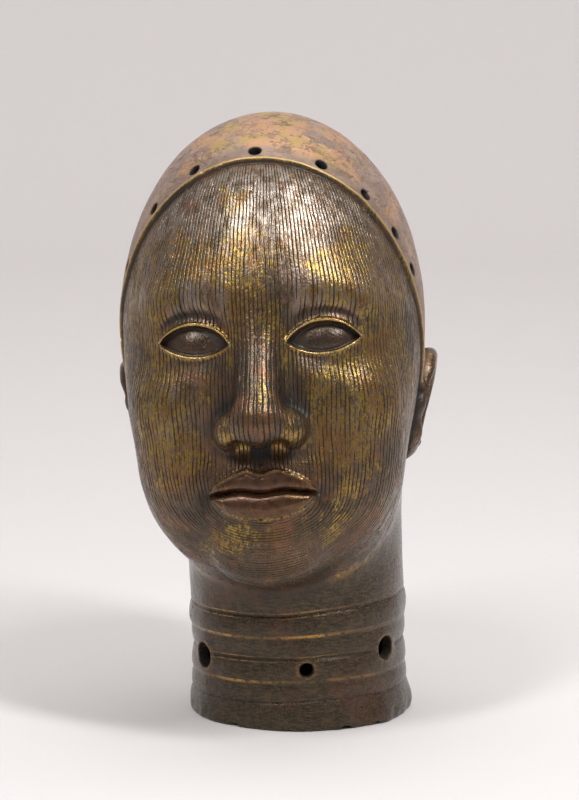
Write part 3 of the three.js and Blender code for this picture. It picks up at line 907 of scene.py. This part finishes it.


# Bronze: dark patina, brass where it is worn, an orange and mauve cap, with painted shade in hollows and
# under the rim, and painted sheen and highlights on brow, cheeks and rim

class Graph:
    """Short calls that add nodes to one material."""

    def __init__(self, name):
        self.material = bpy.data.materials.new(name)
        self.material.use_nodes = True
        self.nodes = self.material.node_tree.nodes
        self.links = self.material.node_tree.links
        self.nodes.clear()
        self.place = self.add("ShaderNodeTexCoord").outputs["Object"]

    def add(self, kind, **settings):
        node = self.nodes.new(kind)
        for key, value in settings.items():
            setattr(node, key, value)
        return node

    def feed(self, socket, value):
        if isinstance(value, bpy.types.NodeSocket):
            self.links.new(value, socket)
        else:
            socket.default_value = value

    def mark(self, name):
        return self.add("ShaderNodeAttribute", attribute_name=name).outputs["Fac"]

    def math(self, operation, a, b=0.0):
        node = self.add("ShaderNodeMath", operation=operation)
        self.feed(node.inputs[0], a)
        self.feed(node.inputs[1], b)
        return node.outputs[0]

    def most(self, first, *others):
        """The largest of the values."""
        for other in others:
            first = self.math("MAXIMUM", first, other)
        return first

    def times(self, first, *others):
        """The product of the values."""
        for other in others:
            first = self.math("MULTIPLY", first, other)
        return first

    def step(self, value, low, high, out_low=0.0, out_high=1.0):
        node = self.add("ShaderNodeMapRange", interpolation_type="SMOOTHSTEP")
        for i, item in enumerate((value, low, high, out_low, out_high)):
            self.feed(node.inputs[i], item)
        return node.outputs[0]

    def noise(self, scale, detail=3.0, rough=0.55, offset=(0, 0, 0), stretch=(1, 1, 1)):
        move = self.add("ShaderNodeMapping")
        self.feed(move.inputs["Vector"], self.place)
        move.inputs["Location"].default_value = offset
        move.inputs["Scale"].default_value = stretch
        node = self.add("ShaderNodeTexNoise")
        self.feed(node.inputs["Vector"], move.outputs[0])
        node.inputs["Scale"].default_value = scale
        node.inputs["Detail"].default_value = detail
        node.inputs["Roughness"].default_value = rough
        return node.outputs["Fac"]

    def mix(self, share, a, b):
        node = self.add("ShaderNodeMix", data_type="RGBA")
        self.feed(node.inputs[0], share)
        self.feed(node.inputs[6], a)
        self.feed(node.inputs[7], b)
        return node.outputs[2]

    def line(self, value, middle, half_width):
        """1 where the value is near the middle, falling to 0 past the half width."""
        away = self.math("ABSOLUTE", self.math("SUBTRACT", value, middle))
        return self.step(away, 0.6 * half_width, 1.4 * half_width, 1.0, 0.0)

    def blend(self, share, a, b):
        node = self.add("ShaderNodeMix", data_type="FLOAT")
        self.feed(node.inputs[0], share)
        self.feed(node.inputs[2], a)
        self.feed(node.inputs[3], b)
        return node.outputs[0]


def colour(code):
    """A linear colour from its hex code."""
    values = [int(code[i:i + 2], 16) / 255 for i in (0, 2, 4)]
    linear = [v / 12.92 if v <= 0.04045 else ((v + 0.055) / 1.055) ** 2.4 for v in values]
    return (*linear, 1.0)


def dark_patina(g, broad, middling, fine, wiped):
    """Brown over the face, and darker down the neck."""
    face = g.mix(g.step(broad, 0.38, 0.62), colour("453622"), colour("5f452b"))
    face = g.mix(g.step(middling, 0.5, 0.66, 0, 0.75), face, colour("7a5030"))
    face = g.mix(g.step(fine, 0.52, 0.7, 0, 0.6), face, colour("2a221c"))
    throat = g.mix(g.step(wiped, 0.42, 0.6), colour("332a1c"), colour("4f3f28"))
    throat = g.mix(g.step(broad, 0.54, 0.68, 0, 0.6), throat, colour("583a27"))
    throat = g.mix(g.step(fine, 0.52, 0.68, 0, 0.6), throat, colour("211c17"))
    return g.mix(g.mark("neck"), face, throat)


def worn_brass(g, lines, off_neck):
    """How much brass shows: in speckled patches where hands rub, and along the ridges between strokes."""
    worn = g.mark("worn")
    patches = g.noise(42, 8, 0.68, (9, 3, 1))
    lean = g.times(g.math("SUBTRACT", worn, 0.5), 0.3)
    patch = g.step(g.math("ADD", patches, lean), 0.505, 0.58)
    rub = g.step(g.noise(700, 4, 0.75, (2, 2, 6), (1, 1, 0.5)), 0.43, 0.56)
    streak = g.step(g.noise(1500, 2, 0.5, (6, 1, 3), (1, 1, 0.12)), 0.47, 0.62, 0, 0.55)
    return g.most(g.times(patch, rub, off_neck), g.times(streak, worn, lines))


def cap_colour(g, depth, middling):
    """Mauve with orange and yellow clouds, veins and flecks, and browner along the rim."""
    crown = g.mark("crown")
    clouds = g.noise(38, 7, 0.66, (4, 4, 0), (1, 1, 1.8))
    clouds = g.math("ADD", clouds, g.times(crown, 0.16))
    cap = g.mix(g.step(middling, 0.4, 0.6), colour("957f74"), colour("aa9181"))
    cap = g.mix(g.step(clouds, 0.53, 0.64, 0, 0.8), cap, colour("c8996f"))
    yellow = g.noise(60, 7, 0.66, (0, 6, 3), (1, 1, 2.0))
    yellow = g.math("ADD", yellow, g.times(crown, 0.1))
    cap = g.mix(g.step(yellow, 0.6, 0.66, 0, 0.75), cap, colour("b39a58"))
    veins = g.noise(55, 8, 0.72, (7, 1, 3), (1, 1, 2.4))
    cap = g.mix(g.line(veins, 0.5, 0.016), cap, colour("8a7263"))
    flecks = g.noise(120, 6, 0.7, (3, 5, 5), (1, 1, 2.6))
    cap = g.mix(g.step(flecks, 0.55, 0.64, 0, 0.75), cap, colour("6a5446"))
    band = g.step(depth, 4.0, 13.0, 0.85, 0.0)
    return g.mix(g.times(band, g.step(middling, 0.35, 0.6, 1.0, 0.4)), cap, colour("85705f"))


def fold_lines(g, neck, fine):
    """The dark creases of the neck, and the gold on its ridges and along its creases' edges."""
    level = g.mark("level")
    top_crease, high_ridge, middle_crease, low_ridge, foot_crease = FOLD_HEIGHTS
    creases = g.most(*(g.line(level, height, 0.35) for height in (top_crease, middle_crease, foot_crease)))
    creases = g.times(creases, neck, g.step(fine, 0.4, 0.55, 1.0, 0.4))
    ridges = g.most(*(g.line(level, height + 0.3, 0.75) for height in (high_ridge, low_ridge)))
    upper_threads = [g.line(level, height + 1.3, 0.3) for height in (top_crease, middle_crease)]
    lower_threads = [g.line(level, height - 1.2, 0.25) for height in (top_crease, middle_crease)]
    gold = g.most(ridges, g.times(g.most(*upper_threads, *lower_threads), 0.6))
    return creases, g.times(gold, g.mark("folds"), neck, g.step(fine, 0.36, 0.52))


def gold_lines(g, depth, off_ear, fine, fold_gold):
    """The gold on the cap's rim, the edges of lids and lips, the neck's folds and its holes' rims."""
    # The gold line on the cap's rim is brass where the edge is worn, and also a painted highlight where the
    # edge catches the light
    rim = g.times(g.line(depth, 0.75, 0.42), off_ear)
    lid_lines = g.most(g.line(g.mark("upper_lid"), 0.75, 0.45), g.line(g.mark("lower_lid"), -0.7, 0.25))
    lip_lines = g.most(g.line(g.mark("upper_lip"), 0, 0.35), g.line(g.mark("lower_lip"), 0, 0.3))
    gold = g.most(rim, g.times(lid_lines, 0.8), g.times(lip_lines, 0.35))
    gold = g.times(gold, g.step(fine, 0.3, 0.5, 0.4, 1.0))
    hole_rims = g.times(g.mark("hole_edge"), g.step(fine, 0.4, 0.6, 0.0, 0.3))
    return g.most(gold, fold_gold, hole_rims)


def bronze():
    """The whole patina with its painted shade, sheen and highlights, placed by the marks above. Bump
    heights are in millimetres.
    """
    g = Graph("patinated_bronze")
    lines, depth, lip, neck, bare = (g.mark(name) for name in ("lines", "depth", "lip", "neck", "bare"))
    off_ear = g.math("SUBTRACT", 1.0, g.mark("ear"))
    off_neck = g.math("SUBTRACT", 1.0, neck)
    grain = g.noise(1100, 4, 0.6)
    fine = g.noise(330, 4, 0.65, (1, 7, 4))
    wiped = g.noise(260, 5, 0.65, (4, 4, 1), (1, 1, 4.5))
    middling = g.noise(80, 4, 0.6, (5, 2, 8))
    broad = g.noise(28, 4, 0.55)

    wave = g.math("COSINE", g.times(g.mark("stroke"), 2 * pi))
    groove_shape = g.math("POWER", g.times(g.math("SUBTRACT", 1.0, wave), 0.5), GROOVE_POWER)
    groove_here = g.times(groove_shape, lines)
    broken = g.step(g.noise(260, 3, 0.6, (3, 1, 2)), 0.36, 0.52, 0.45, 1.0)
    scored = g.step(g.times(groove_here, broken), 0.08, 0.4)

    body = dark_patina(g, broad, middling, fine, wiped)
    # Painted sheen: streaky pale grey polish on the upper forehead, brows and cheeks, where the highlights
    # fall
    pale = g.step(g.noise(190, 5, 0.7, (8, 2, 2), (1, 1, 0.35)), 0.36, 0.6)
    pale = g.times(pale, g.mark("polish_and_sheen"), off_neck)
    body = g.mix(g.times(pale, 0.8), body, colour("b8aca0"))
    shine = worn_brass(g, lines, off_neck)
    body = g.mix(shine, body, g.mix(g.step(middling, 0.4, 0.65), colour("9c7f38"), colour("87652c")))
    lip_colour = g.mix(g.step(fine, 0.4, 0.6), colour("3f281b"), colour("5a3a24"))
    body = g.mix(g.times(lip, 0.85), body, lip_colour)
    body = g.mix(g.times(g.mark("eye"), 0.6), body, colour("332b26"))
    hair = g.times(g.step(depth, 0.1, 0.4), off_ear)
    body = g.mix(hair, body, cap_colour(g, depth, middling))

    # Painted shadow: the flank under the cap's rim and the gutter below it are darkened
    shade_under_rim = g.times(g.line(depth, -0.35, 0.4), off_ear)
    # Near-black: dark patina in the strokes' grooves, and painted shade in hollows, down the holes and
    # under the cap's rim
    grime_and_shade = g.most(g.times(scored, 0.95), g.mark("hollow_shade"), g.times(shade_under_rim, 0.75))
    body = g.mix(grime_and_shade, body, colour("14100d"))
    creases, fold_gold = fold_lines(g, neck, fine)
    body = g.mix(g.times(creases, 0.6), body, colour("1a1613"))
    gold = gold_lines(g, depth, off_ear, fine, fold_gold)
    body = g.mix(gold, body, g.mix(neck, colour("bfa166"), colour("bd9048")))
    body = g.mix(bare, body, colour("2c2723"))

    dull = g.most(grime_and_shade, bare)
    rough = g.blend(g.step(grain, 0.3, 0.7), 0.2, 0.34)
    rough = g.blend(g.times(shine, 0.7), rough, 0.26)
    rough = g.blend(hair, rough, g.step(grain, 0.3, 0.7, 0.4, 0.55))
    rough = g.blend(g.times(lip, 0.8), rough, 0.2)
    rough = g.blend(dull, rough, 0.75)
    metal = g.blend(g.most(shine, gold, pale), 0.7, 1.0)
    metal = g.blend(hair, metal, 0.6)
    metal = g.blend(dull, metal, 0.1)
    coat = g.blend(hair, g.blend(neck, 0.45, 0.4), 0.1)
    coat = g.blend(dull, coat, 0.05)

    bumps = g.math("ADD", g.times(grain, 0.12), g.times(fine, 0.32))
    bumps = g.math("ADD", bumps, g.times(wiped, neck, 0.3))
    bumps = g.math("SUBTRACT", bumps, g.times(groove_here, STROKE_DEPTH))
    bumps = g.math("SUBTRACT", bumps, g.times(creases, 0.2))
    relief = g.add("ShaderNodeBump")
    relief.inputs["Strength"].default_value = 1.0
    relief.inputs["Distance"].default_value = MILLIMETRE
    g.feed(relief.inputs["Height"], bumps)

    shader = g.add("ShaderNodeBsdfPrincipled")
    g.feed(shader.inputs["Base Color"], body)
    g.feed(shader.inputs["Roughness"], rough)
    g.feed(shader.inputs["Metallic"], metal)
    g.feed(shader.inputs["Normal"], relief.outputs[0])
    g.feed(shader.inputs["Coat Normal"], relief.outputs[0])
    g.feed(shader.inputs["Coat Weight"], coat)
    shader.inputs["Coat Roughness"].default_value = 0.13
    output = g.add("ShaderNodeOutputMaterial")
    g.links.new(shader.outputs[0], output.inputs[0])
    return g.material


head.data.materials.clear()
head.data.materials.append(bronze())
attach(head, "root")
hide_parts("cast_head")


# A pale round sweep: a floor that curves up into a wall on every side

FLOOR_REACH, CURVE_RADIUS, WALL_TOP = 1.9, 0.7, 3.0
CURVE_STEPS, SIDES = 16, 96


def sweep():
    profile = [(0.1, 0), (0.5, 0), (1.2, 0), (FLOOR_REACH, 0)]
    for turn in np.linspace(0, pi / 2, CURVE_STEPS + 1)[1:]:
        profile.append((FLOOR_REACH + CURVE_RADIUS * sin(turn), CURVE_RADIUS - CURVE_RADIUS * cos(turn)))
    profile.append((FLOOR_REACH + CURVE_RADIUS, WALL_TOP))
    turns = [2 * pi * i / SIDES for i in range(SIDES)]
    points = [(reach * cos(turn), reach * sin(turn), height) for reach, height in profile for turn in turns]
    faces = [(i, i + 1, SIDES - 2 - i, SIDES - 1 - i) for i in range(SIDES // 2 - 1)]
    for row in range(len(profile) - 1):
        for side in range(SIDES):
            after = (side + 1) % SIDES
            low, high = row * SIDES, (row + 1) * SIDES
            faces.append((low + side, high + side, high + after, low + after))
    faces = np.array(faces)
    made = make_object("sweep", np.array(points, float), faces)
    made.data.polygons.foreach_set("use_smooth", np.ones(len(faces), bool))
    paper = bpy.data.materials.new("paper")
    paper.use_nodes = True
    shader = paper.node_tree.nodes["Principled BSDF"]
    shader.inputs["Base Color"].default_value = (0.76, 0.73, 0.725, 1)
    shader.inputs["Roughness"].default_value = 0.9
    made.data.materials.append(paper)
    return made


sweep()


# Studio light: a tall soft box on each side, one overhead, one for the backdrop and a pale room

def soft_box(name, place, target, width, height, watts):
    """A rectangular light that faces the target."""
    data = bpy.data.lights.new(name, "AREA")
    data.shape = "RECTANGLE"
    data.size = width
    data.size_y = height
    data.energy = watts
    lamp = bpy.data.objects.new(name, data)
    lamp.location = place
    lamp.rotation_euler = (Vector(place) - Vector(target)).to_track_quat("Z", "Y").to_euler()
    bpy.context.scene.collection.objects.link(lamp)


HEAD_MIDDLE = (0, 0, 0.18)
WALL_FOOT = (0, 2.6, 0.6)
soft_box("left_box", (-0.44, -0.74, 1.41), HEAD_MIDDLE, 0.18, 0.7, 9)
soft_box("right_box", (0.65, -0.55, 1.35), HEAD_MIDDLE, 0.2, 0.7, 13)
soft_box("top_box", (0.03, 0.33, 2.55), HEAD_MIDDLE, 2.6, 1.6, 13)
soft_box("backdrop_box", (0, 1.3, 2.7), WALL_FOOT, 3.2, 1.2, 24)
world = bpy.data.worlds.new("room")
world.use_nodes = True
room = world.node_tree.nodes["Background"]
room.inputs["Color"].default_value = (0.88, 0.86, 0.87, 1)
room.inputs["Strength"].default_value = 0.2
bpy.context.scene.world = world
bpy.context.scene.view_settings.view_transform = "Standard"
